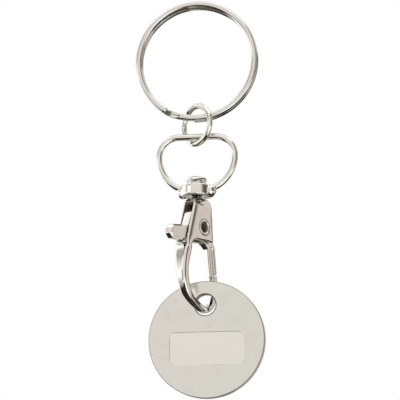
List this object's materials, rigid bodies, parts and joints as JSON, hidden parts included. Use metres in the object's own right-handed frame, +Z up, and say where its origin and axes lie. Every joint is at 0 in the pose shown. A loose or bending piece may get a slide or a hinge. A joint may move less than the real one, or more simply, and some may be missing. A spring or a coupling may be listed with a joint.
{
  "type": "coin keyring",
  "caption": "Keyring with a split ring, jump ring, swivel eye and sprung trigger clasp, whose hook carries a holed token coin.",
  "frame": {"origin": "centre of the split ring, on its axis and midway through its thickness", "axes": "+Z up as the keyring hangs, Y along the split ring's axis, and the coin's face toward -Y"},
  "size_m": [0.0258, 0.0132, 0.0805],
  "materials": {
    "ring_nickel": "nickel plated hardened steel wire, polished",
    "jump_nickel": "nickel plated steel wire, polished",
    "eye_nickel": "nickel plated zinc casting, polished",
    "rivet_nickel": "nickel plated steel, polished",
    "clasp_nickel": "nickel plated zinc casting, tumbled and polished",
    "lever_nickel": "nickel plated zinc casting, tumbled and polished",
    "tube_nickel": "nickel plated tubular rivet",
    "spring_steel": "spring steel wire",
    "coin_nickel": "nickel plated iron blank, fine satin"
  },
  "bodies": {
    "ring": {"split_ring": "ring_nickel"},
    "link": {"jump_ring": "jump_nickel"},
    "eye": {"swivel_eye": "eye_nickel"},
    "clasp": {"clasp_body": "clasp_nickel", "swivel_rivet": "rivet_nickel", "pivot_rivet": "tube_nickel", "trigger_spring": "spring_steel"},
    "trigger": {"trigger_lever": "lever_nickel"},
    "token": {"coin": "coin_nickel"}
  },
  "joints": [
    {"name": "link_travel", "type": "hinge", "parent": "ring", "child": "link", "pos_m": [0, 0, 0], "axis": [0, 1, 0], "continuous": true},
    {"name": "eye_swing", "type": "hinge", "parent": "link", "child": "eye", "pos_m": [0, 0, -0.0156], "axis": [1, 0, 0], "range_deg": [-60, 60]},
    {"name": "clasp_swivel", "type": "hinge", "parent": "eye", "child": "clasp", "pos_m": [0, 0, -0.0266], "axis": [0, 0, 1], "continuous": true},
    {"name": "trigger_press", "type": "hinge", "parent": "clasp", "child": "trigger", "pos_m": [0.00015, 0.00026, -0.0342], "axis": [-0.866, 0.5, 0], "range_deg": [0, 22], "stiffness_Nm_per_rad": 0.012, "springref_deg": -40.11, "deforming": ["trigger_spring"]},
    {"name": "coin_swing", "type": "hinge", "parent": "clasp", "child": "token", "pos_m": [0.0015, 0.002, -0.04945], "axis": [0, 1, 0], "range_deg": [-20, 20]}
  ]
}
